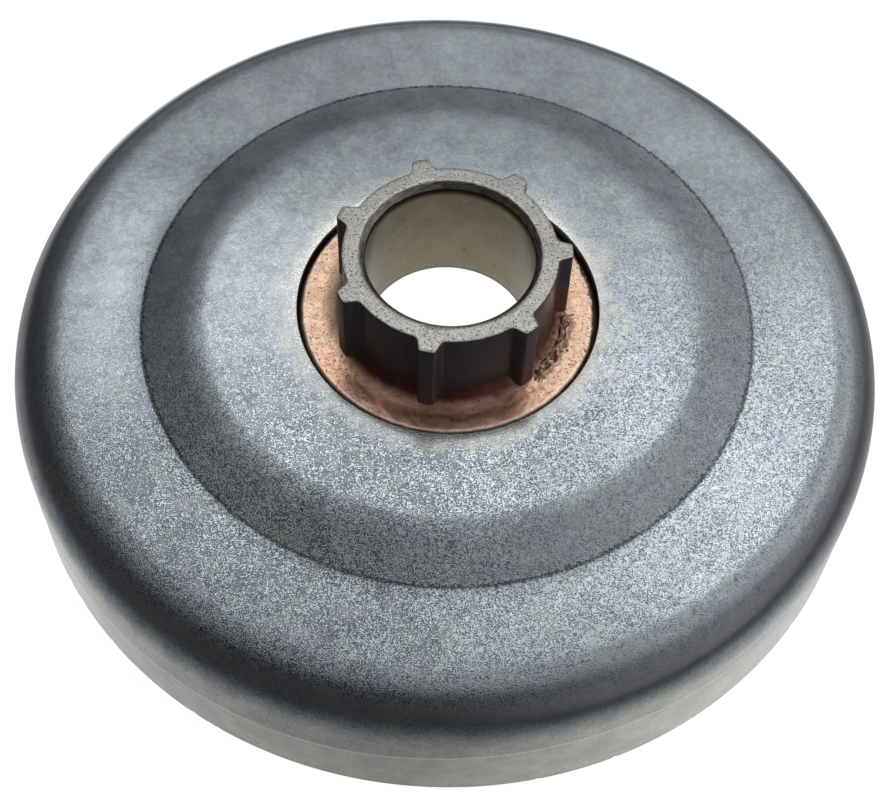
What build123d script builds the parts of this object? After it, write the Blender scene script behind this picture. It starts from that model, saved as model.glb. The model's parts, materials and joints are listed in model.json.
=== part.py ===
from build123d import *
import os
from math import asin, atan2, degrees, sqrt, tan

# Chainsaw clutch drum: a cup drawn from sheet steel, with a splined hub brazed into its crown by copper.
# Millimetres. The drum stands on its open rim, hub upward. The origin is the centre of the rim plane,
# and +Z is the axis that the drum turns about.

# Drum cup
clutch_diameter = 75.0        # inside of the wall, which the clutch shoes grip
sheet = 2.5                   # thickness of the steel sheet
ring_height = 14.3            # rim to the flat ring round the crown
corner_radius = 4.8           # outside of the bend from the ring into the wall
ring_width = 12.0             # outside of the wall to the foot of the crown
crown_rise = 1.45             # crown above the ring
crown_slope_width = 5.0       # radial width of the slope up to the crown
crown_bend_radius = 10.0      # outside of the bend from the slope into the crown
rim_edge_break = 0.3          # chamfer on both edges of the rim

# Splined hub
bore_diameter = 15.0          # seat of the needle bearing
bore_chamfer = 0.5
hub_wall = 2.0                # bore to the lands between the splines
spline_count = 7
spline_height = 1.25          # land to spline tip
spline_root_width = 2.25
spline_tip_width = 1.4
spline_root_fillet = 0.4
spline_tip_round = 0.3
first_spline_angle = 261.2    # from +X, degrees
hub_stand = 7.8               # end face above the crown
shoulder_width = 2.95         # spline tip to the outside of the pilot
shoulder_setback = 0.75       # shoulder below the crown
pilot_chamfer = 0.45          # leaves the dark groove round the copper
braze_gap = 0.05              # between the pilot and its hole, all round
flange_overlap = 2.75         # flange behind the crown, beyond the hole
flange_thickness = 2.4
flange_edge_break = 0.4

# Copper braze
copper_thickness = 0.3        # skin on the hub's shoulder
copper_climb = 0.95           # height on the lands, above the skin
copper_knee_height = 0.3      # where the steep slope meets the shallow one, above the skin
copper_knee_width = 0.8       # the same place, out from the lands
copper_foot_width = 2.4       # foot of the shallow slope, out from the lands
copper_edge_break = 0.15

# Radii that follow
wall_inner_radius = clutch_diameter / 2
wall_radius = wall_inner_radius + sheet
corner_bevel = (2 - sqrt(2)) * (corner_radius - sheet)   # inside, keeps the sheet's thickness in mid-bend
crown_foot_radius = wall_radius - ring_width
crown_edge_radius = crown_foot_radius - crown_slope_width
bore_radius = bore_diameter / 2
land_radius = bore_radius + hub_wall
spline_tip_radius = land_radius + spline_height
pilot_radius = spline_tip_radius + shoulder_width
hub_hole_radius = pilot_radius + braze_gap
flange_radius = hub_hole_radius + flange_overlap
copper_edge_radius = pilot_radius - pilot_chamfer

# Heights that follow
crown_z = ring_height + crown_rise
crown_underside_z = crown_z - sheet
hub_top_z = crown_z + hub_stand
hub_bottom_z = crown_underside_z - flange_thickness
shoulder_z = crown_z - shoulder_setback
copper_z = shoulder_z + copper_thickness


def turned(face):
    """Solid of revolution of a section drawn with radius across and height up."""
    return revolve(Plane.XZ * face, Axis.Z)


def make_drum_cup():
    """Sheet of even thickness: flat crown, slope, flat ring, round corner and straight wall."""
    slope_angle = atan2(crown_rise, crown_slope_width)
    inward = sheet * tan(slope_angle / 2)   # shift of the bends from the top face to the underside
    ring_underside_z = ring_height - sheet
    crown_edge = (crown_edge_radius, crown_z)
    crown_foot = (crown_foot_radius, ring_height)
    corner_start = (wall_radius - corner_radius, ring_height)
    corner_end = (wall_radius, ring_height - corner_radius)
    with BuildSketch() as section:
        with BuildLine():
            crown_top = FilletPolyline(
                (hub_hole_radius, crown_z), crown_edge, crown_foot, radius=crown_bend_radius
            )
            Line(crown_foot, corner_start)
            RadiusArc(corner_start, corner_end, corner_radius)
            Polyline(
                corner_end,
                (wall_radius, rim_edge_break),
                (wall_radius - rim_edge_break, 0),
                (wall_inner_radius + rim_edge_break, 0),
                (wall_inner_radius, rim_edge_break),
                (wall_inner_radius, ring_underside_z - corner_bevel),
                (wall_inner_radius - corner_bevel, ring_underside_z),
                (crown_foot_radius - inward, ring_underside_z),
                (crown_edge_radius - inward, crown_underside_z),
                (hub_hole_radius, crown_underside_z),
                crown_top @ 0,
            )
        make_face()
    return turned(section.sketch)


def spline_section():
    """Outline of the hub: round lands between straight-flanked teeth with rounded tips and roots."""
    pitch = 360 / spline_count
    root_half_angle = degrees(asin(spline_root_width / 2 / land_radius))
    tip_half_angle = degrees(asin(spline_tip_width / 2 / spline_tip_radius))
    with BuildSketch() as section:
        with BuildLine():
            for tooth in range(spline_count):
                middle = first_spline_angle + tooth * pitch
                land_start = middle + root_half_angle
                land_sweep = pitch - 2 * root_half_angle
                tip = CenterArc((0, 0), spline_tip_radius, middle - tip_half_angle, 2 * tip_half_angle)
                land = CenterArc((0, 0), land_radius, land_start, land_sweep)
                root = Vector(land_radius, 0).rotate(Axis.Z, middle - root_half_angle)
                Line(root, tip @ 0)
                Line(tip @ 1, land @ 0)
        make_face()
        middle_radius = land_radius + spline_height / 2
        corners = section.vertices()
        fillet([v for v in corners if v.center().length < middle_radius], spline_root_fillet)
        fillet([v for v in corners if v.center().length > middle_radius], spline_tip_round)
    return section.sketch


def make_splined_hub():
    """Flange behind the crown, pilot in its hole and splined neck above, with a chamfered bore through all."""
    seat = turned(make_face(Polyline(
        (0, hub_bottom_z),
        (flange_radius - flange_edge_break, hub_bottom_z),
        (flange_radius, hub_bottom_z + flange_edge_break),
        (flange_radius, crown_underside_z),
        (pilot_radius, crown_underside_z),
        (pilot_radius, shoulder_z - pilot_chamfer),
        (pilot_radius - pilot_chamfer, shoulder_z),
        (0, shoulder_z),
        close=True,
    )))
    neck = Pos(0, 0, crown_underside_z) * extrude(spline_section(), hub_top_z - crown_underside_z)
    bore = turned(make_face(Polyline(
        (0, hub_bottom_z),
        (bore_radius + bore_chamfer, hub_bottom_z),
        (bore_radius, hub_bottom_z + bore_chamfer),
        (bore_radius, hub_top_z - bore_chamfer),
        (bore_radius + bore_chamfer, hub_top_z),
        (0, hub_top_z),
        close=True,
    )))
    return seat + neck - bore


def make_copper_braze(hub):
    """Skin on the hub's shoulder that climbs the lands and splines in two slopes, steeper at the hub."""
    inner_radius = bore_radius + hub_wall / 2   # inside the hub's wall, which is cut away
    top_z = copper_z + copper_climb
    ring = turned(make_face(Polyline(
        (inner_radius, shoulder_z),
        (copper_edge_radius, shoulder_z),
        (copper_edge_radius, copper_z - copper_edge_break),
        (copper_edge_radius - copper_edge_break, copper_z),
        (land_radius + copper_foot_width, copper_z),
        (land_radius + copper_knee_width, copper_z + copper_knee_height),
        (land_radius, top_z),
        (inner_radius, top_z),
        close=True,
    )))
    return ring - hub


def main():
    hub = make_splined_hub()
    nodes = {
        "drum_cup": make_drum_cup(),
        "splined_hub": hub,
        "copper_braze": make_copper_braze(hub),
    }
    os.makedirs("parts", exist_ok=True)
    for name, solid in nodes.items():
        export_step(solid, f"parts/{name}.step")


main()
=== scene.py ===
import json
from math import atan2, cos, pi, radians, sin, sqrt, tan

import bmesh
import bpy
import numpy as np
from mathutils import Matrix, Vector, noise


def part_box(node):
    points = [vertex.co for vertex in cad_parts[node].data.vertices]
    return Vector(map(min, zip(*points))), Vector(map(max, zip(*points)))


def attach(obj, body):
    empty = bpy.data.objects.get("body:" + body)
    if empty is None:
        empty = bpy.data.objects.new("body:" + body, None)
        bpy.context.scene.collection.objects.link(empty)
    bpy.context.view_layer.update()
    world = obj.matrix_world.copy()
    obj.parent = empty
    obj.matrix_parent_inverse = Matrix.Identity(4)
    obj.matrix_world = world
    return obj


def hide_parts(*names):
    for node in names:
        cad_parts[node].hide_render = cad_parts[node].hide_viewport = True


# Looks of a chainsaw clutch drum. The object's own sizes are in millimetres and are turned into
# metres where a mesh is made. The stage, the lamps and the camera are in metres.

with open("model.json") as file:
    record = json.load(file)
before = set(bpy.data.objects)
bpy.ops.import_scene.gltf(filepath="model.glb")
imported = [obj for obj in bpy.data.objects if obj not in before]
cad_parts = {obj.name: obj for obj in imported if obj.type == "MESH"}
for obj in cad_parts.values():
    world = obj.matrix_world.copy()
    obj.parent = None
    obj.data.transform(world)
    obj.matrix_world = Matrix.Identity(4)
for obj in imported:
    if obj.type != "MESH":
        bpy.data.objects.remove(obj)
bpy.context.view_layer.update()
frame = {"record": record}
MM = 0.001

# Directions, as the camera sees them
NEAR, FAR, RIGHT, UP = (0, -1, 0), (0, 1, 0), (1, 0, 0), (0, 0, 1)
NEAR_RIGHT, NEAR_LEFT = (0.45, -1, 0), (-0.45, -1, 0)

# Sizes that the frame gives
mounts = {mount["name"]: mount for mount in frame["record"]["mounts"]}
cup_low, cup_high = (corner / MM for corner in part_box("drum_cup"))
hub_low, hub_high = (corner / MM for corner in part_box("splined_hub"))
copper_low, copper_high = (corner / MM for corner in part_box("copper_braze"))
wall_radius, crown_z = cup_high.x, cup_high.z
hub_bottom_z, hub_top_z = hub_low.z, hub_high.z
flange_radius = hub_high.x
shoulder_z, copper_top_z = copper_low.z, copper_high.z
copper_edge_radius = copper_high.x
wall_inner_radius = mounts["clutch_wall"]["dims"]["r_mm"]
bore_radius = mounts["hub_bore"]["dims"]["r_mm"]
spline_tip_radius = mounts["sprocket_splines"]["dims"]["r_mm"]
sheet = wall_radius - wall_inner_radius
crown_underside_z = crown_z - sheet

# Drum cup
ring_z = 14.3
corner_radius = 4.8
crown_foot_radius = 28.0
crown_edge_radius = 23.0
crown_bend_radius = 10.0
hub_hole_radius = 13.75
hole_edge_round = 0.08
foot_round = 0.12
dish_width = 2.2           # the ring lifts softly towards the crease
dish_rise = 0.05
rim_chamfer = 0.3
die_line_height = 7.5      # line left round the wall by the drawing die, above the rim
die_line_step = 0.03       # the wall below it is that much smaller
die_line_gap = 0.12        # height of the line itself
die_line_dip = 1.7         # the line dips on the left of the near side
die_line_dip_side = radians(205)
die_line_waver = 0.10
wall_waver = 0.02
nick_count = 42            # dents along the rim
crown_slope = atan2(crown_z - ring_z, crown_foot_radius - crown_edge_radius)
crown_edge = np.array([crown_edge_radius, crown_z])
crown_foot = np.array([crown_foot_radius, ring_z])
corner_middle = np.array([wall_radius - corner_radius, ring_z - corner_radius])

# Points of the cup's mesh
cup_segments = 600
wall_rows = 24
inner_wall_rows = 8
rim_edge_rows = 4

# Splined hub
spline_count = 7
first_spline = radians(261.2)
spline_height = 1.25
spline_root_width = 2.25
spline_tip_width = 1.4
tip_round = 0.22
root_round = 0.34
bore_chamfer = 0.5
end_edge_round = 0.05
end_face_gap = 0.04        # from the bore's chamfer to the end face
burr_height = 0.025        # unevenness of the end face's outer edge
pilot_radius = 13.7
pilot_chamfer = 0.45
flange_edge_break = 0.4
land_radius = spline_tip_radius - spline_height
land_points = 14

# Finishes of the hub's faces, by their number in its mesh
END_FACE, BORE, FLANK, TURNED, CHAMFER = range(5)

# Copper braze
copper_skin = 0.3
copper_climb = copper_top_z - shoulder_z - copper_skin
steep_share, steep_width = 0.62, 0.35        # part of the climb that is close to the lands
shallow_share, shallow_width = 0.38, 2.2
copper_overhang = 0.22                       # the braze spreads past the CAD's edge
copper_short = 0.2                           # and stops short at the far right
copper_short_side = radians(35)
copper_lip_width, copper_lip_drop = 0.28, 0.16
copper_near_side = radians(262)              # painted shade makes the braze darker and redder there
bead_radius = land_radius + 1.4              # rough bead of braze beside the hub, on the right
bead_middle = radians(338)
bead_half_angle = radians(21)
bead_width = 0.45
bead_grains, edge_grains = 220, 70

# Stage and lamps
floor_grey, floor_rough = 0.25, 0.9
floor_glow = 0.97                            # for the camera, so that the floor is white
pool_middle, pool_reach, pool_most = (-0.012, 0.015, 0), 0.039, 0.7
# painted light patch and painted shade patch on the floor, seen only in reflections
painted_light_patch, painted_shade_patch = (0.038, -0.036, 0), (-0.05, 0.012, 0)
wall_slope, wall_level, wall_least = (0.15, 0.16, 0), 0.10, 0.065
lamp_aim = (0, 0, 0.015)


# Curves and rings of points

def line(start, end, steps):
    """Points from start to end, without the end."""
    t = np.linspace(0, 1, steps, endpoint=False)[:, None]
    return np.asarray(start) * (1 - t) + np.asarray(end) * t


def curve(start, corner, end, steps):
    """Round corner from start to end that leaves and arrives along the two sides, without the end."""
    t = np.linspace(0, 1, steps, endpoint=False)[:, None]
    start, corner, end = map(np.asarray, (start, corner, end))
    return start * (1 - t) ** 2 + corner * 2 * t * (1 - t) + end * t ** 2


def arc(centre, radius, start, end, steps):
    """Points on a circle between two angles in degrees, without the end."""
    t = np.radians(np.linspace(start, end, steps, endpoint=False))
    return np.asarray(centre) + radius * np.stack([np.cos(t), np.sin(t)], 1)


def around(radius, angle, height):
    """Points round the axis."""
    return np.stack([radius * np.cos(angle), radius * np.sin(angle), height], -1)


def polar(points):
    """Angle round the axis and distance from it."""
    return np.arctan2(points[..., 1], points[..., 0]), np.hypot(points[..., 0], points[..., 1])


def smooth(value, low, high):
    """Soft step from 0 at low to 1 at high."""
    t = np.clip((value - low) / (high - low), 0, 1)
    return t * t * (3 - 2 * t)


def sector(angle, middle, half_angle, full_angle):
    """1 within the full angle on both sides of the middle, falling to 0 at the half angle."""
    return smooth(np.cos(angle - middle), cos(half_angle), cos(full_angle))


def wander(angle, waves, seed):
    """Smooth random curve round the axis, mostly within 1 either way."""
    draw = np.random.default_rng(seed)
    curves = []
    for k in range(1, waves + 1):
        curves.append(np.cos(k * angle + draw.uniform(0, 2 * pi)) * draw.uniform(0.5, 1))
    return np.sum(curves, 0) / sqrt(waves)


def lumps(points, size, offset=0.0):
    """Noise at each point, with lumps of about the given size in millimetres."""
    shift = Vector((offset, offset, offset))
    flat = points.reshape(-1, 3) / size
    return np.array([noise.noise(Vector(p) + shift) for p in flat]).reshape(points.shape[:-1])


# Meshes

def new_piece(name, points, faces, finishes):
    """Object with a mesh of points in millimetres."""
    mesh = bpy.data.meshes.new(name)
    mesh.from_pydata((points.reshape(-1, 3) * MM).tolist(), [], faces.tolist())
    for finish in finishes:
        mesh.materials.append(finish)
    mesh.update()
    piece = bpy.data.objects.new(name, mesh)
    bpy.context.scene.collection.objects.link(piece)
    return piece


def ring_piece(name, rows, finishes, row_finish):
    """Closed mesh through loops of points round the axis, the last loop joined to the first.
    A row's number in row_finish picks the finish of the faces after it."""
    count, loop = rows.shape[:2]
    index = np.arange(count * loop).reshape(count, loop)
    after = np.roll(index, -1, 0)
    faces = np.stack([index, after, np.roll(after, -1, 1), np.roll(index, -1, 1)], -1).reshape(-1, 4)
    piece = new_piece(name, rows, faces, finishes)
    polygons = piece.data.polygons
    polygons.foreach_set("material_index", np.repeat(row_finish, loop).astype(np.int32))
    polygons.foreach_set("use_smooth", np.ones(len(faces), bool))
    piece.data.update()
    return piece


def mark(piece, name, values):
    """Keeps a number for each point of a piece, which its finish reads."""
    piece.data.attributes.new(name, "FLOAT", "POINT").data.foreach_set("value", np.ravel(values))


def place_piece(piece, node):
    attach(piece, "root")
    if node:
        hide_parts(node)


# Node trees

class Nodes:
    """Node tree of a material or a world, with short calls for the nodes that they share."""

    def __init__(self, tree):
        self.tree = tree

    def add(self, kind, **settings):
        node = self.tree.nodes.new(kind)
        for name, value in settings.items():
            setattr(node, name, value)
        return node

    def put(self, socket, value):
        """Links a socket to another, or gives it a constant."""
        if isinstance(value, bpy.types.NodeSocket):
            self.tree.links.new(value, socket)
        else:
            socket.default_value = value

    def math(self, operation, first, second=0.0):
        node = self.add("ShaderNodeMath", operation=operation)
        self.put(node.inputs[0], first)
        self.put(node.inputs[1], second)
        return node.outputs[0]

    def plus(self, first, second):
        return self.math("ADD", first, second)

    def minus(self, first, second):
        return self.math("SUBTRACT", first, second)

    def times(self, first, second):
        return self.math("MULTIPLY", first, second)

    def most(self, first, second):
        return self.math("MAXIMUM", first, second)

    def vector(self, operation, first, second=None):
        """Vector operation, whose result is a number for a product, a distance or a length."""
        node = self.add("ShaderNodeVectorMath", operation=operation)
        self.put(node.inputs[0], first)
        if second is not None:
            self.put(node.inputs[1], second)
        is_number = operation in ("DOT_PRODUCT", "DISTANCE", "LENGTH")
        return node.outputs["Value" if is_number else "Vector"]

    def place(self):
        """Place on the object, in metres."""
        return self.add("ShaderNodeTexCoord").outputs["Object"]

    def away(self, point):
        """Distance from a point, in metres."""
        return self.vector("DISTANCE", self.place(), point)

    def lean(self, way):
        """How far a point lies along a direction, in millimetres."""
        return self.vector("DOT_PRODUCT", self.place(), Vector(way).normalized() / MM)

    def radius(self):
        """Distance from the drum's axis, in millimetres."""
        return self.vector("LENGTH", self.vector("MULTIPLY", self.place(), (1 / MM, 1 / MM, 0)))

    def up(self):
        """1 where the surface faces up, 0 on a wall, less than 0 underneath."""
        node = self.add("ShaderNodeSeparateXYZ")
        self.put(node.inputs[0], self.add("ShaderNodeNewGeometry").outputs["Normal"])
        return node.outputs["Z"]

    def band(self, value, low, high, start=0.0, end=1.0):
        """Soft ramp of a value, from start at low to end at high."""
        node = self.add("ShaderNodeMapRange", interpolation_type="SMOOTHSTEP")
        for socket, number in zip(node.inputs, (value, low, high, start, end)):
            self.put(socket, number)
        return node.outputs[0]

    def near(self, value, middle, reach):
        """1 where a value is at the middle, falling to 0 within the reach."""
        return self.band(self.math("ABSOLUTE", self.minus(value, middle)), reach, 0)

    def vary(self, pattern, start=0.0, end=1.0):
        """Soft ramp over the range that most of a noise lies in."""
        return self.band(pattern, 0.3, 0.7, start, end)

    def share(self, value, start, end):
        """Soft ramp of a value between 0 and 1."""
        return self.band(value, 0, 1, start, end)

    def blend(self, share, first, second):
        """Number between two others."""
        node = self.add("ShaderNodeMix", data_type="FLOAT")
        for place, value in zip((0, 2, 3), (share, first, second)):
            self.put(node.inputs[place], value)
        return node.outputs[0]

    def mix(self, share, first, second):
        """Colour between two others."""
        node = self.add("ShaderNodeMix", data_type="RGBA")
        self.put(node.inputs[0], share)
        for socket, colour in zip(node.inputs[6:8], (first, second)):
            self.put(socket, (*colour, 1) if isinstance(colour, tuple) else colour)
        return node.outputs[2]


class Finish(Nodes):
    """Node tree of one material."""

    def __init__(self, name, metallic=1.0):
        self.material = bpy.data.materials.new(name)
        self.material.use_nodes = True
        super().__init__(self.material.node_tree)
        self.shader = self.tree.nodes["Principled BSDF"]
        self.shader.inputs["Metallic"].default_value = metallic

    def noise(self, size, detail, rough=0.6, stretch=(1, 1, 1), warp=0.0):
        """Noise with grains of about the given size in millimetres, stretched along the axes."""
        node = self.add("ShaderNodeTexNoise")
        scale = [1 / (size * MM * s) for s in stretch]
        self.put(node.inputs["Vector"], self.vector("MULTIPLY", self.place(), scale))
        node.inputs["Scale"].default_value = 1.0
        node.inputs["Detail"].default_value = detail
        node.inputs["Roughness"].default_value = rough
        node.inputs["Distortion"].default_value = warp
        return node.outputs["Fac"]

    def mark(self, name):
        return self.add("ShaderNodeAttribute", attribute_name=name).outputs["Fac"]

    def show(self, shader):
        """Puts another shader at the material's output."""
        self.put(self.tree.nodes["Material Output"].inputs["Surface"], shader.outputs[0])

    def done(self, colour, rough, height, depth):
        """Colour, roughness and a bump of the given depth in millimetres go to the shader."""
        bump = self.add("ShaderNodeBump")
        bump.inputs["Distance"].default_value = depth * MM
        self.put(bump.inputs["Height"], height)
        self.put(self.shader.inputs["Base Color"], colour)
        self.put(self.shader.inputs["Roughness"], rough)
        self.put(self.shader.inputs["Normal"], bump.outputs[0])
        return self.material


# Finishes

def drum_steel():
    """Blued sheet steel: specked, mostly at the front, pale round the hub, plain low on the wall, with
    painted light and shade on some sides and a painted highlight on the die's line.
    """
    bend_violet, crease_black = (0.44, 0.42, 0.46), (0.04, 0.045, 0.055)
    painted_line_highlight = (0.78, 0.79, 0.77)
    f = Finish("drum_steel")
    up, radius = f.up(), f.radius()
    fine, grain, blotch = f.noise(0.12, 1), f.noise(0.36, 2), f.noise(2.6, 4)
    flat = f.band(up, 0.5, 0.97)
    low_wall = f.times(f.mark("wall"), f.band(f.lean(NEAR), -12, 14, 0.3, 1))
    strength = speck_strength(f, up, flat, low_wall)
    crowd = f.band(f.lean(RIGHT), -8, 16, 1, 0)
    specks = speck_share(f, fine, grain, f.plus(crowd, f.vary(blotch, -0.5, 0.5)), strength)
    # polish of the bend, painted light and shade on the ring and crown, and random tone
    polish_and_painted_light_level = f.plus(polish_and_painted_light(f, up, radius, strength), f.vary(blotch, -0.08, 0.08))
    colour = drum_colour(f, specks, strength, crowd, polish_and_painted_light_level)
    colour = worn_colour(f, colour, radius, fine, blotch)
    colour = f.mix(f.times(f.near(up, 0.7, 0.3), 0.6), colour, bend_violet)
    colour = f.mix(f.band(up, 0.5, 0.1), colour, wall_colour(f, specks, blotch, low_wall))
    colour = f.mix(f.times(crease_share(f, radius, fine, grain), flat), colour, crease_black)
    # painted highlight along the die's line
    colour = f.mix(f.mark("die_line"), colour, painted_line_highlight)
    rough = f.minus(f.share(strength, 0.15, 0.21), f.times(specks, 0.04))
    return f.done(colour, rough, f.times(specks, -1), depth=0.012)


def speck_strength(f, up, flat, low_wall):
    """How dark the specks are: most on flat steel at the near right, some high on the wall."""
    on_top = f.times(f.band(f.lean(NEAR_RIGHT), -21, 16, 0.1, 1), f.share(flat, 0.35, 1))
    on_wall = f.times(f.band(up, 0.3, 0.05), f.share(low_wall, 0.5, 0.1))
    return f.most(on_top, on_wall)


def speck_share(f, fine, grain, crowd, strength):
    """Dark specks: dense at the front left, sparse on the right, faint at the far side."""
    spread = f.plus(f.times(fine, 0.75), f.times(grain, 0.25))
    spread = f.plus(spread, f.times(crowd, 0.065))
    return f.times(f.band(spread, 0.48, 0.64), strength)


def polish_and_painted_light(f, up, radius, strength):
    """Lighter where the bend is polished, with painted light at the back of the ring and painted shade at
    the front of the crown.
    """
    polish = f.times(f.near(up, 0.93, 0.08), f.band(radius, 34, 36))
    polish = f.times(polish, f.band(strength, 0.1, 0.9, 0.15, 0.4))
    # painted light lightens the back of the ring and painted shade darkens the front of the crown
    back_ring_painted_light = f.times(f.band(f.lean(FAR), 12, 24), f.band(radius, 26, 29, 0, 0.09))
    front_crown_painted_shade = f.times(f.band(f.lean((0.6, -1, 0)), 8, 20), f.band(radius, 26, 22, 0, -0.1))
    return f.plus(f.plus(polish, back_ring_painted_light), front_crown_painted_shade)


def drum_colour(f, specks, strength, crowd, polish_and_painted_light_level):
    """Steel from dark to light by the specks, with soft curls, polish, painted light and shade, and tints of
    green and violet.
    """
    dark, light = (0.12, 0.14, 0.16), (0.74, 0.82, 0.89)
    green, violet = (0.48, 0.53, 0.44), (0.44, 0.44, 0.58)
    cloud, tint = f.noise(10, 3, 0.55), f.noise(2.8, 4)
    curls = f.noise(0.9, 3, warp=1.2)
    level = f.plus(f.plus(polish_and_painted_light_level, f.vary(cloud, -0.07, 0.07)), f.vary(curls, -0.09, 0.09))
    level = f.plus(level, f.times(strength, f.share(crowd, 0.23, 0.42)))
    level = f.plus(level, 0.43)
    # painted shade: darker towards the near left
    level = f.minus(level, f.band(f.lean(NEAR_LEFT), 14, 32, 0, 0.13))
    level = f.minus(level, f.times(specks, f.share(crowd, 0.6, 0.85)))
    colour = f.mix(level, dark, light)
    colour = f.mix(f.band(tint, 0.52, 0.68, 0, 0.35), colour, green)
    return f.mix(f.band(tint, 0.48, 0.32, 0, 0.35), colour, violet)


def worn_colour(f, colour, radius, fine, blotch):
    """Pale granular steel round the hub's hole, with a ragged edge."""
    dark, light = (0.42, 0.415, 0.39), (0.78, 0.775, 0.74)
    worn = f.band(f.plus(radius, f.vary(blotch, -1.2, 1.2)), 16.6, 14.0, 0, 0.75)
    return f.mix(worn, colour, f.mix(f.band(fine, 0.36, 0.6), dark, light))


def wall_colour(f, specks, blotch, low_wall):
    """Drawn steel of the wall, lighter below the die's line."""
    dark, light = (0.26, 0.26, 0.25), (0.64, 0.64, 0.605)
    level = f.minus(f.vary(blotch, 0.45, 0.9), specks)
    return f.mix(f.plus(level, f.share(low_wall, 0, 0.2)), dark, light)


def crease_share(f, radius, fine, grain):
    """Broken dark line in the crease at the foot of the crown."""
    ragged = f.plus(radius, f.vary(grain, -0.16, 0.16))
    return f.times(f.near(ragged, crown_foot_radius - 0.15, 0.22), f.band(fine, 0.3, 0.55, 0.25, 1))


def turned_steel():
    """Bright turned steel inside the wall, with fine rings from the tool."""
    bright, stained = (0.52, 0.52, 0.53), (0.36, 0.35, 0.35)
    f = Finish("turned_steel")
    rings = f.noise(0.16, 3, stretch=(60, 60, 1))
    colour = f.mix(f.band(f.noise(5, 4), 0.35, 0.7), bright, stained)
    return f.done(colour, f.vary(rings, 0.24, 0.4), rings, depth=0.02)


def end_face_steel():
    """Ground end of the hub: warm light grey and granular."""
    dark, light, pit = (0.27, 0.268, 0.262), (0.58, 0.57, 0.55), (0.10, 0.098, 0.095)
    f = Finish("end_face_steel")
    fine, grain, blotch = f.noise(0.15, 2, 0.75), f.noise(0.4, 3), f.noise(1.8, 3)
    colour = f.mix(f.plus(f.vary(fine, 0.2, 0.8), f.vary(blotch, -0.12, 0.12)), dark, light)
    pits = f.band(f.noise(0.22, 2), 0.58, 0.66, 0, 0.85)
    colour = f.mix(pits, colour, pit)
    return f.done(colour, f.vary(grain, 0.26, 0.38), f.minus(grain, pits), depth=0.012)


def bore_steel():
    """Honed bore: smooth olive grey, with painted shade that makes it darker towards the top, fine scratches
    and a few dark spots.
    """
    dark, light, spot = (0.135, 0.114, 0.076), (0.255, 0.218, 0.147), (0.05, 0.04, 0.03)
    f = Finish("bore_steel")
    scratch, blotch = f.noise(0.12, 3, stretch=(30, 30, 1)), f.noise(2.4, 3)
    # painted shade: the bore darkens towards the top, for the shaded floor that it reflects
    painted_shade_fade = f.band(f.lean(UP), hub_top_z - 1, hub_bottom_z + 1)
    level = f.plus(f.plus(painted_shade_fade, f.vary(blotch, -0.15, 0.15)), f.vary(scratch, -0.08, 0.08))
    colour = f.mix(level, dark, light)
    colour = f.mix(f.band(f.noise(0.5, 2, 0.5), 0.69, 0.74), colour, spot)
    return f.done(colour, f.vary(scratch, 0.24, 0.36), scratch, depth=0.005)


def chamfer_steel():
    """Cut edge of the bore: bright steel gone grey, with rings from the tool."""
    dark, light = (0.16, 0.15, 0.13), (0.56, 0.55, 0.52)
    f = Finish("chamfer_steel")
    rings, blotch = f.noise(0.07, 2, stretch=(14, 14, 1)), f.noise(0.8, 3)
    colour = f.mix(f.plus(f.band(rings, 0.35, 0.65, 0, 0.7), f.vary(blotch, -0.1, 0.3)), dark, light)
    return f.done(colour, f.vary(rings, 0.22, 0.34), rings, depth=0.02)


def black_oxide():
    """Spline flanks: smooth black, red-brown where the braze ran up and stained them, and low down all round
    with a painted reflection of the copper.
    """
    black, worn, red_brown = (0.12, 0.118, 0.15), (0.165, 0.152, 0.18), (0.27, 0.125, 0.09)
    f = Finish("black_oxide", metallic=0.3)
    grain, drawn = f.noise(0.25, 3), f.noise(0.35, 2, 0.5, stretch=(1, 1, 10))
    # red-brown from the braze beside the bead, and painted reflection of the copper low down all round
    stain_and_copper_reflection = f.times(f.mark("stain_and_copper_reflection"), f.band(grain, 0.3, 0.6, 0.35, 1))
    colour = f.mix(stain_and_copper_reflection, f.mix(f.vary(drawn), black, worn), red_brown)
    return f.done(colour, f.plus(f.vary(grain, 0.26, 0.36), f.times(stain_and_copper_reflection, 0.2)), grain, depth=0.006)


def copper():
    """Braze: tan and grainy, with painted shade that makes it a little darker and redder on the near side,
    and with pits and brown stains.
    """
    f = Finish("copper")
    grain, blotch = f.noise(0.4, 3, 0.65), f.noise(1.5, 4)
    colour = stained_copper(f, copper_colour(f, blotch), grain, blotch)
    pits = f.band(f.noise(0.2, 3, 0.7), 0.58, 0.66, 0, 0.65)
    colour = f.mix(pits, colour, (0.16, 0.075, 0.05))
    return f.done(colour, f.vary(grain, 0.28, 0.38), f.minus(grain, pits), depth=0.012)


def copper_colour(f, blotch):
    """Clean copper, with painted shade that makes it redder on the near side."""
    brown, tan, red = (0.62, 0.36, 0.23), (1.0, 0.72, 0.54), (0.98, 0.54, 0.38)
    level = f.plus(f.vary(f.noise(0.15, 2, 0.7), 0.2, 0.6), f.vary(blotch, 0, 0.3))
    # painted shade: redder and darker on the near side
    return f.mix(f.times(f.mark("near_side_painted_shade"), 0.7), f.mix(level, brown, tan), red)


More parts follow.
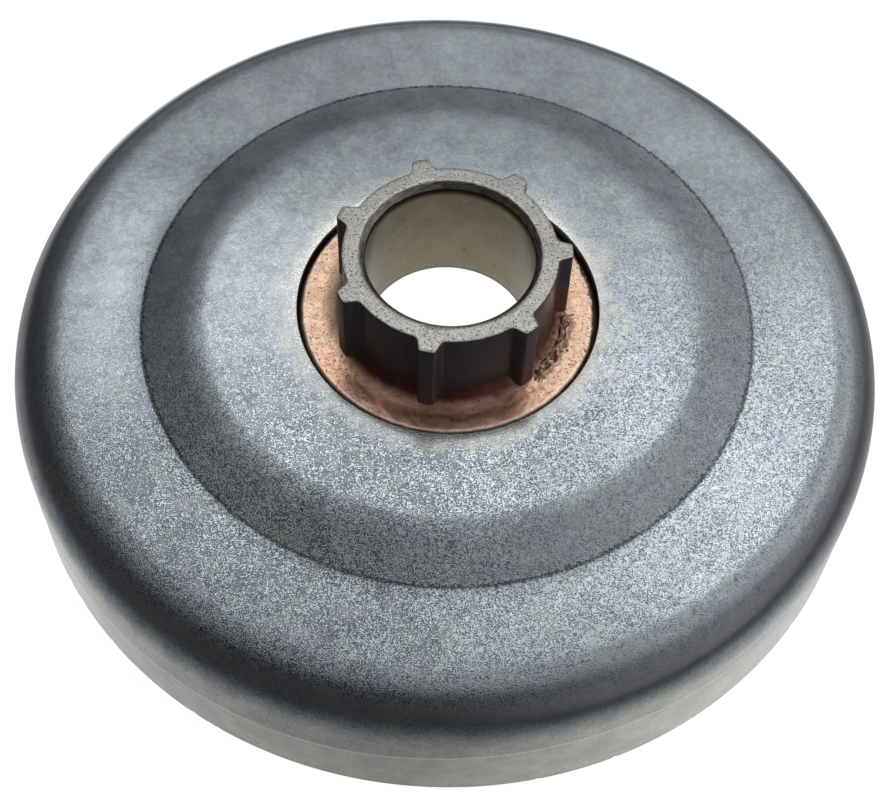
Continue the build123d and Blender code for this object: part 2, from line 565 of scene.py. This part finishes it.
def stained_copper(f, colour, grain, blotch):
    """Copper with painted shade at the foot on the near side, stains, a stained bead with painted shade in
    its hollows and beside it, and a painted highlight along the outer edge.
    """
    foot_painted_shade, right_tan, brown = (0.12, 0.045, 0.035), (0.80, 0.54, 0.37), (0.24, 0.11, 0.07)
    stain_and_painted_shade, bright = (0.17, 0.08, 0.055), (1, 0.84, 0.70)
    foot = f.mark("foot")
    # painted shade at the foot of the hub on the near side
    colour = f.mix(f.times(foot, f.times(f.mark("near_side_painted_shade"), 0.94)), colour, foot_painted_shade)
    colour = f.mix(f.band(f.lean(RIGHT), 5, 12, 0, 0.35), colour, right_tan)
    colour = f.mix(f.band(f.plus(f.times(foot, 0.10), blotch), 0.64, 0.76, 0, 0.7), colour, brown)
    # stain and painted shade in the bead's hollows and between the bead and the hub
    colour = f.mix(f.times(f.mark("bead"), f.band(grain, 0.3, 0.6, 0.75, 1)), colour, stain_and_painted_shade)
    # painted highlight along the braze's outer edge
    return f.mix(f.times(f.mark("rim"), f.band(grain, 0.3, 0.6)), colour, bright)


def crust():
    """Flux and braze dross: rough grains of copper from pale to dark brown, the pale grains partly painted
    glints.
    """
    dark, brown, pale, pit = (0.30, 0.165, 0.115), (0.66, 0.40, 0.28), (0.98, 0.80, 0.66), (0.14, 0.07, 0.05)
    f = Finish("braze_crust", metallic=0.35)
    grain, shade = f.noise(0.18, 3, 0.65), f.mark("shade")
    # pale grains partly stand in for painted glints
    colour = f.mix(f.band(shade, 0.6, 0.95), f.mix(f.band(shade, 0.0, 0.5), dark, brown), pale)
    colour = f.mix(f.band(grain, 0.58, 0.72, 0, 0.5), colour, pit)
    return f.done(colour, f.vary(grain, 0.25, 0.45), grain, depth=0.04)


# Drum cup

def outer_section():
    """Section of the cup's outside: hub's hole, crown, slope, ring and bend."""
    along = np.array([cos(crown_slope), -sin(crown_slope)])
    reach = crown_bend_radius * tan(crown_slope / 2)
    hole_edge = np.array([hub_hole_radius, crown_z])
    crown_start, crown_end = hole_edge + [hole_edge_round, 0], crown_edge - [reach, 0]
    lifted = crown_foot + [0, dish_rise]
    slope_start, slope_end = crown_edge + along * reach, lifted - along * foot_round
    ring_start, ring_end = crown_foot + [dish_width, 0], (corner_middle[0], ring_z)
    dish = curve(lifted, crown_foot + [dish_width * 0.4, 0], ring_start, 16)[1:]
    return np.concatenate([
        curve(hole_edge - [0, hole_edge_round], hole_edge, crown_start, 4),
        line(crown_start, crown_end, 9),
        curve(crown_end, crown_edge, slope_start, 8),
        line(slope_start, slope_end, 6),
        curve(slope_end, lifted, dish[0], 6),
        dish,
        line(ring_start, ring_end, 6),
        arc(corner_middle, corner_radius, 90, 0, 22),
    ])


def rim_section():
    """Section of the rim, from the outside of the wall to its inside."""
    outer, inner = (wall_radius - rim_chamfer, 0), (wall_inner_radius + rim_chamfer, 0)
    return np.concatenate([
        curve((wall_radius, rim_chamfer), (wall_radius, 0), outer, rim_edge_rows),
        line(outer, inner, 3),
        curve(inner, (wall_inner_radius, 0), (wall_inner_radius, rim_chamfer), rim_edge_rows),
    ])


def inner_section():
    """Section of the cup's inside, from the bend to the hub's hole."""
    inward = sheet * tan(crown_slope / 2)
    under_edge, under_foot = crown_edge - [inward, sheet], crown_foot - [inward, sheet]
    hole_low = (hub_hole_radius, crown_underside_z)
    return np.concatenate([
        arc(corner_middle, corner_radius - sheet, 0, 90, 8),
        line((corner_middle[0], ring_z - sheet), under_foot, 6),
        line(under_foot, under_edge, 4),
        line(under_edge, hole_low, 5),
        line(hole_low, (hub_hole_radius, crown_z - hole_edge_round), 3),
    ])


def cup_profile():
    """Section of the whole cup, with the rows of its outer wall and the rows of turned steel inside."""
    outside, rim, bend_z = outer_section(), rim_section(), corner_middle[1]
    wall = line((wall_radius, bend_z), (wall_radius, rim_chamfer), wall_rows)
    inner_wall = line((wall_inner_radius, rim_chamfer), (wall_inner_radius, bend_z), inner_wall_rows)
    profile = np.concatenate([outside, wall, rim, inner_wall, inner_section()])
    wall_end = len(outside) + wall_rows
    inner_start = wall_end + len(rim)
    return profile, slice(len(outside), wall_end), slice(inner_start - 1, inner_start + inner_wall_rows + 1)


def follow_die_line(height, angle, wall, line_row):
    """Moves the rows of the wall so that one row follows the die's line."""
    dip = smooth(np.cos(angle - die_line_dip_side), 0.1, 0.9)
    die_line = die_line_height - die_line_dip * dip + die_line_waver * wander(angle, 14, 3)
    top, bottom = height[wall.start, 0], height[wall.stop, 0]
    above = np.linspace(0, 1, line_row - wall.start, endpoint=False)[:, None] ** 0.8
    below = np.linspace(0, 1, wall.stop - line_row, endpoint=False)[:, None] ** 1.6
    height[wall.start:line_row] = top + (die_line + die_line_gap - top) * above
    height[line_row:wall.stop] = die_line + (bottom - die_line) * below


def nicks(radius, height, angle, rim_row):
    """Small dents along the outer edge of the rim."""
    draw = np.random.default_rng(11)
    middles = draw.uniform(0, 2 * pi, nick_count)
    widths = draw.uniform(0.004, 0.016, nick_count)
    depths = draw.uniform(0.02, 0.09, nick_count)
    for middle, width, depth in zip(middles, widths, depths):
        away = np.abs((angle - middle + pi) % (2 * pi) - pi)
        dent = depth * smooth(away, width, 0)
        height[rim_row - 1:rim_row + rim_edge_rows] += dent
        radius[rim_row:rim_row + rim_edge_rows] -= dent * 0.6


def make_cup():
    profile, wall, inner_wall = cup_profile()
    angle = np.linspace(0, 2 * pi, cup_segments, endpoint=False)
    radius = np.repeat(profile[:, :1], cup_segments, 1)
    height = np.repeat(profile[:, 1:], cup_segments, 1)
    line_row = (wall.start + wall.stop) // 2
    follow_die_line(height, angle, wall, line_row)
    radius[line_row + 1:wall.stop + rim_edge_rows] -= die_line_step
    radius[wall] += wall_waver * wander(angle, 9, 5)
    nicks(radius, height, angle, wall.stop)
    row_finish = np.zeros(len(profile), int)
    row_finish[inner_wall] = 1
    rows = around(radius, angle, height)
    cup = ring_piece("drum_cup_skin", rows, [drum_steel(), turned_steel()], row_finish)
    low_wall, die_line = np.zeros_like(radius), np.zeros_like(radius)
    low_wall[line_row:wall.stop] = 1
    # painted highlight along the die's line, which the steel's finish reads
    die_line[line_row] = 0.75 + 0.25 * wander(angle, 40, 8)
    mark(cup, "wall", low_wall)
    mark(cup, "die_line", np.clip(die_line, 0, 1))
    place_piece(cup, "drum_cup")


# Splined hub

def half_tooth():
    """Outline from the middle of a spline's tip to the middle of the next land, along X."""
    pitch = 2 * pi / spline_count
    tip = np.array([sqrt(spline_tip_radius ** 2 - spline_tip_width ** 2 / 4), spline_tip_width / 2])
    root = np.array([sqrt(land_radius ** 2 - spline_root_width ** 2 / 4), spline_root_width / 2])
    flank = (root - tip) / np.linalg.norm(root - tip)
    tip_start = tip - [0, tip_round]
    flank_start, flank_end = tip + flank * tip_round, root - flank * root_round
    root_angle = atan2(root[1], root[0]) + root_round / land_radius
    land_start = land_radius * np.array([cos(root_angle), sin(root_angle)])
    land = np.linspace(root_angle, pitch / 2, land_points)
    return np.concatenate([
        line((spline_tip_radius, 0), tip_start, 3),
        curve(tip_start, tip, flank_start, 5),
        line(flank_start, flank_end, 5),
        curve(flank_end, root, land_start, 5),
        land_radius * np.stack([np.cos(land), np.sin(land)], 1),
    ])


def spline_outline():
    """Angle and radius of the points round the splined neck."""
    away, reach = polar(half_tooth())
    tooth_angle = np.concatenate([-away[:0:-1], away[:-1]])
    tooth_radius = np.concatenate([reach[:0:-1], reach[:-1]])
    middles = first_spline + np.arange(spline_count) * 2 * pi / spline_count
    return np.ravel(middles[:, None] + tooth_angle), np.tile(tooth_radius, spline_count)


def bore_loops():
    """Radius, height and finish of the loops from the flange up the bore to its upper chamfer."""
    low, high = hub_bottom_z + bore_chamfer, hub_top_z - bore_chamfer
    bore = [(bore_radius, z, BORE) for z in np.linspace(low, high, 12)]
    bore[-1] = (bore_radius, high, CHAMFER)
    steps = [bore_chamfer * share for share in (0.12, 0.5, 0.88)]
    chamfer = [(bore_radius + step, high + step, CHAMFER) for step in steps]
    return [(bore_radius + bore_chamfer, hub_bottom_z, TURNED)] + bore + chamfer


def end_face_loops(angle, outline):
    """Loops of the end face and of its uneven outer edge."""
    start = bore_radius + bore_chamfer + end_face_gap
    across = (outline - end_edge_round) - start
    burr = burr_height * wander(angle, 60, 21)
    face = [(start + across * share, hub_top_z - 0.001, END_FACE) for share in np.linspace(0, 1, 7)]
    inner_edge = outline - end_edge_round * 0.3 + burr * 0.5
    return face + [
        (inner_edge, hub_top_z - end_edge_round * 0.3, END_FACE),
        (outline + burr * 0.6, hub_top_z - end_edge_round, FLANK),
    ]


def seat_loops():
    """Loops of the shoulder, the pilot and the flange."""
    return [
        (pilot_radius - pilot_chamfer, shoulder_z, FLANK),
        (pilot_radius, shoulder_z - pilot_chamfer, FLANK),
        (pilot_radius, crown_underside_z, TURNED),
        (flange_radius, crown_underside_z, TURNED),
        (flange_radius, hub_bottom_z + flange_edge_break, TURNED),
        (flange_radius - flange_edge_break, hub_bottom_z, TURNED),
    ]


def stain_and_copper_reflection_share(points):
    """How far the braze has stained the hub beside the bead, with a painted reflection of the copper low
    down all round.
    """
    height = points[..., 2] + 1.2 * lumps(points, 1.3) - shoulder_z
    beside = sector(polar(points)[0], bead_middle, radians(34), radians(14))
    # the second term is painted reflection of the copper
    return np.clip(beside * smooth(height, 6.5, 3) + 0.5 * smooth(height, 2.6, 0.8), 0, 1)


def make_hub():
    angle, outline = spline_outline()
    neck = [(outline, z, FLANK) for z in np.linspace(hub_top_z - 0.5, shoulder_z, 12)]
    loops = bore_loops() + end_face_loops(angle, outline) + neck + seat_loops()
    circle = np.ones_like(outline)
    rows = np.array([around(radius * circle, angle, z * circle) for radius, z, _ in loops])
    finishes = [end_face_steel(), bore_steel(), black_oxide(), turned_steel(), chamfer_steel()]
    hub = ring_piece("splined_hub_skin", rows, finishes, [number for _, _, number in loops])
    mark(hub, "stain_and_copper_reflection", stain_and_copper_reflection_share(rows))
    place_piece(hub, "splined_hub")


# Copper braze

def copper_height(radius):
    """Top of the braze by distance from the axis: flat outside, climbing steeply to the lands."""
    away = np.clip(radius - land_radius, 0, None)
    steep = copper_climb * steep_share * np.exp(-away / steep_width)
    shallow = copper_climb * shallow_share * np.clip(1 - away / shallow_width, 0, 1) ** 1.5
    return shoulder_z + copper_skin + steep + shallow


def copper_edge(angle):
    """Radius of the braze's ragged outer edge."""
    short = smooth(np.cos(angle - copper_short_side), 0.55, 0.95)
    rough = (0.03 + 0.05 * short) * wander(angle, 60, 31)
    return copper_edge_radius + copper_overhang - copper_short * short + rough


def bead_ends(side):
    """1 along the bead's length, falling to 0 at its ends."""
    return sector(side, bead_middle, bead_half_angle, bead_half_angle * 0.8)


def bead_ridge(points):
    """1 along the rough bead of braze beside the hub, falling to 0 around it."""
    side, reach = polar(points)
    across = (reach + 0.35 * lumps(points, 1.4, 13) - bead_radius) / bead_width
    return bead_ends(side) * np.exp(-across ** 2)


def make_copper():
    angle, outline = spline_outline()
    edge = copper_edge(angle)
    share = np.concatenate([[-0.06], np.linspace(0, 1, 30) ** 1.35])[:, None]
    radius = outline + (edge - outline) * share
    height = copper_height(radius)
    points = around(radius, angle, height)
    ridge = bead_ridge(points)
    crumple = lumps(points, 0.55, 9) + 0.7 * lumps(points, 0.28, 11)
    height += 0.03 * lumps(points, 1.6) + 0.015 * lumps(points, 0.5, 7)
    height += ridge * (0.18 + 0.55 * crumple)
    height -= copper_lip_drop * smooth(edge - radius, copper_lip_width, 0) ** 2
    low = np.full_like(edge, shoulder_z - 0.02)
    underside = [around(edge, angle, low)[None], around(radius[0], angle, low)[None]]
    rows = np.concatenate([around(radius, angle, height), *underside])
    ring = ring_piece("copper_braze_skin", rows, [copper()], np.zeros(len(rows), int))
    # painted shade in the hollows of the crumpled bead
    creases = np.zeros(rows.shape[:2])
    creases[:len(ridge)] = ridge * smooth(crumple, 0.05, -0.3)
    mark_copper(ring, rows, edge, creases)
    place_piece(ring, "copper_braze")


def mark_copper(ring, rows, edge, creases):
    """Marks the parts of the braze that its finish colours."""
    side, reach = polar(rows)
    near = sector(side, copper_near_side, radians(62), radians(38))
    ragged = reach + 0.35 * lumps(rows, 0.9, 5)
    # stain and painted shade between the bead and the hub
    inside = 0.9 * bead_ends(side) * smooth(ragged, bead_radius, bead_radius - 0.4)
    inset = edge - reach
    # painted shade on the near side of the braze
    mark(ring, "near_side_painted_shade", np.clip(near + 0.25 * lumps(rows, 2.2, 3), 0, 1))
    mark(ring, "foot", smooth(ragged, land_radius + 1.9, land_radius + 0.5))
    mark(ring, "bead", np.maximum(inside, creases))
    # painted highlight in a band just inside the outer edge
    mark(ring, "rim", smooth(inset, 0.5, 0.32) * smooth(inset, 0.1, 0.2))


# Crust

def unit_grain():
    """Points and triangles of a small round grain."""
    ball = bmesh.new()
    bmesh.ops.create_icosphere(ball, subdivisions=2, radius=1)
    points = np.array([v.co[:] for v in ball.verts])
    faces = np.array([[v.index for v in face.verts] for face in ball.faces])
    ball.free()
    return points, faces


def crust_grains(draw):
    """Angle, radius and size of the grains on the bead, and of finer ones along the edge beside it."""
    grains = []
    for _ in range(bead_grains):
        angle = bead_middle + bead_half_angle * draw.uniform(-1, 1)
        grains.append((angle, bead_radius + draw.normal(0, 0.35), draw.uniform(0.04, 0.13)))
    for _ in range(edge_grains):
        angle = radians(draw.uniform(-20, 28))
        grains.append((angle, copper_edge_radius - abs(draw.normal(0, 0.2)), draw.uniform(0.03, 0.08)))
    return grains


def make_crust():
    draw = np.random.default_rng(41)
    ball_points, ball_faces = unit_grain()
    points, faces, shades = [], [], []
    for angle, reach, size in crust_grains(draw):
        middle = around(reach, angle, copper_height(reach) + 0.1 * size)
        rough = 1 + 0.35 * draw.normal(0, 1, (len(ball_points), 1)).clip(-1, 1)
        stretch = size * draw.uniform(0.6, 1.4, 3) * [1, 1, 0.7]
        faces.append(ball_faces + len(points) * len(ball_points))
        points.append(middle + ball_points * rough * stretch)
        shades += [draw.uniform(0, 1)] * len(ball_points)
    piece = new_piece("braze_crust", np.concatenate(points), np.concatenate(faces), [crust()])
    mark(piece, "shade", shades)
    place_piece(piece, None)


# Stage, lamps and camera

def white_share(n):
    """1 for the rays that show the background: from the camera, off gloss and through glass."""
    path = n.add("ShaderNodeLightPath").outputs
    return n.most(n.most(path["Is Camera Ray"], path["Is Glossy Ray"]), path["Is Transmission Ray"])


def light_pool(n):
    """Glow of the floor: even for the camera, and for reflections a painted pool of light round the object,
    with a painted light patch and a painted shade patch.
    """
    fall = n.math("POWER", n.math("DIVIDE", pool_reach, n.away(pool_middle)), 3)
    gain = n.band(n.away(painted_light_patch), 0.005, 0.045, 2.6, 1)
    loss = n.band(n.away(painted_shade_patch), 0.008, 0.036, 0.45, 1)
    pool = n.times(n.math("MINIMUM", fall, pool_most), n.times(gain, loss))
    return n.blend(n.add("ShaderNodeLightPath").outputs["Is Camera Ray"], pool, floor_glow)


def make_floor():
    """White floor, which is clear from below."""
    bpy.ops.mesh.primitive_plane_add(size=6)
    floor = bpy.context.object
    floor.name = "floor"
    f = Finish("floor_white", metallic=0)
    f.put(f.shader.inputs["Base Color"], (floor_grey, floor_grey, floor_grey, 1))
    f.put(f.shader.inputs["Roughness"], floor_rough)
    f.put(f.shader.inputs["Emission Color"], (1, 1, 1, 1))
    f.put(f.shader.inputs["Emission Strength"], f.times(white_share(f), light_pool(f)))
    either = f.add("ShaderNodeMixShader")
    f.put(either.inputs[0], f.add("ShaderNodeNewGeometry").outputs["Backfacing"])
    f.put(either.inputs[1], f.shader.outputs[0])
    f.put(either.inputs[2], f.add("ShaderNodeBsdfTransparent").outputs[0])
    f.show(either)
    floor.data.materials.append(f.material)


def wall_glow(n, way, middle, outer, inner, most):
    """Round glow on the studio's walls, from nothing at the outer angle to the most at the inner one."""
    toward = n.vector("DOT_PRODUCT", way, Vector(middle).normalized())
    return n.band(toward, cos(radians(outer)), cos(radians(inner)), 0, most)


def make_studio():
    """Dim walls round the stage, lighter to the right and behind, which the metal reflects."""
    bpy.ops.mesh.primitive_uv_sphere_add(segments=48, ring_count=24, radius=2)
    walls = bpy.context.object
    walls.name = "studio_walls"
    walls.visible_camera = False
    walls.visible_shadow = False
    f = Finish("studio_grey", metallic=0)
    way = f.vector("NORMALIZE", f.place())
    level = f.most(f.plus(f.vector("DOT_PRODUCT", way, wall_slope), wall_level), wall_least)
    round_softbox = wall_glow(f, way, (0.12, 0.42, 0.90), 52, 10, 0.34)
    near_right_fill = wall_glow(f, way, (0.70, -0.59, 0.42), 42, 8, 0.15)
    glow = f.add("ShaderNodeEmission")
    f.put(glow.inputs["Strength"], f.plus(level, f.plus(round_softbox, near_right_fill)))
    f.show(glow)
    walls.data.materials.append(f.material)


def make_world():
    world = bpy.data.worlds.new("studio")
    bpy.context.scene.world = world
    world.use_nodes = True
    n = Nodes(world.node_tree)
    sky = n.tree.nodes["Background"]
    n.put(sky.inputs["Color"], (1, 1, 1, 1))
    n.put(sky.inputs["Strength"], white_share(n))


def softbox(name, place, size, radiance):
    """Rectangular lamp that faces the object, as bright as a white sheet of that radiance."""
    lamp = bpy.data.lights.new(name, "AREA")
    lamp.shape = "RECTANGLE"
    lamp.size, lamp.size_y = size
    lamp.energy = radiance * pi * size[0] * size[1]
    holder = bpy.data.objects.new(name, lamp)
    holder.location = place
    holder.rotation_mode = "QUATERNION"
    holder.rotation_quaternion = (Vector(lamp_aim) - Vector(place)).to_track_quat("-Z", "Y")
    bpy.context.scene.collection.objects.link(holder)


def make_camera():
    """Camera at the place that the photo was taken from."""
    place, aim, roll = Vector((0, -0.09111, 0.14254)), Vector((-0.00006, 0, -0.00047)), radians(2.47)
    camera = bpy.data.cameras.new("camera")
    camera.sensor_width = 36
    camera.lens = 69.54
    camera.clip_start = 0.005
    holder = bpy.data.objects.new("camera", camera)
    holder.rotation_mode = "QUATERNION"
    turn = (aim - place).to_track_quat("-Z", "Y").to_matrix() @ Matrix.Rotation(roll, 3, "Z")
    holder.rotation_quaternion = turn.to_quaternion()
    holder.location = place
    bpy.context.scene.collection.objects.link(holder)
    bpy.context.scene.camera = holder


make_cup()
make_hub()
make_copper()
make_crust()
make_floor()
make_studio()
make_world()
softbox("far_softbox", (0.028, 0.252, 0.459), (0.37, 0.135), 1.25)
softbox("right_fill", (0.5, 0.1, 0.3), (0.3, 0.3), 0.2)
make_camera()
bpy.context.scene.view_settings.view_transform = "Standard"
